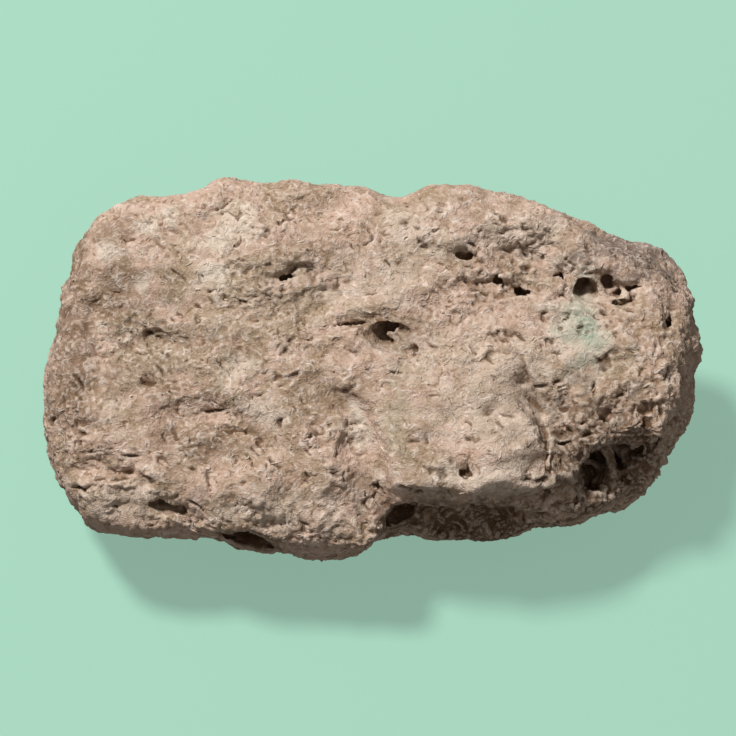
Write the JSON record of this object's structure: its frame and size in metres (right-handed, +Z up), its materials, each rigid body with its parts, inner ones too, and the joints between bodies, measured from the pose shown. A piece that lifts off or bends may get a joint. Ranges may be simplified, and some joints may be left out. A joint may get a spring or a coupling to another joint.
{
  "type": "pumice stone",
  "caption": "Pumice stone: a wedge-shaped lump of stringy, frothy volcanic rock with a broad pitted face, an undercut ledge and open gas cavities, resting flat.",
  "frame": {"origin": "on the ground under the middle of the stone's box, as the stone lies on its flattest side", "axes": "+X along the stone, from its squarer end to its rounder, pitted end; +Z up; -Y to the front, the low side that the broad face slopes down to"},
  "size_m": [0.1504, 0.0866, 0.0541],
  "materials": {
    "pumice": "dry, dull, fibrous and porous, pinkish tan with cream and grey-green patches"
  },
  "bodies": {
    "root": {"pumice_stone": "pumice"}
  },
  "joints": []
}
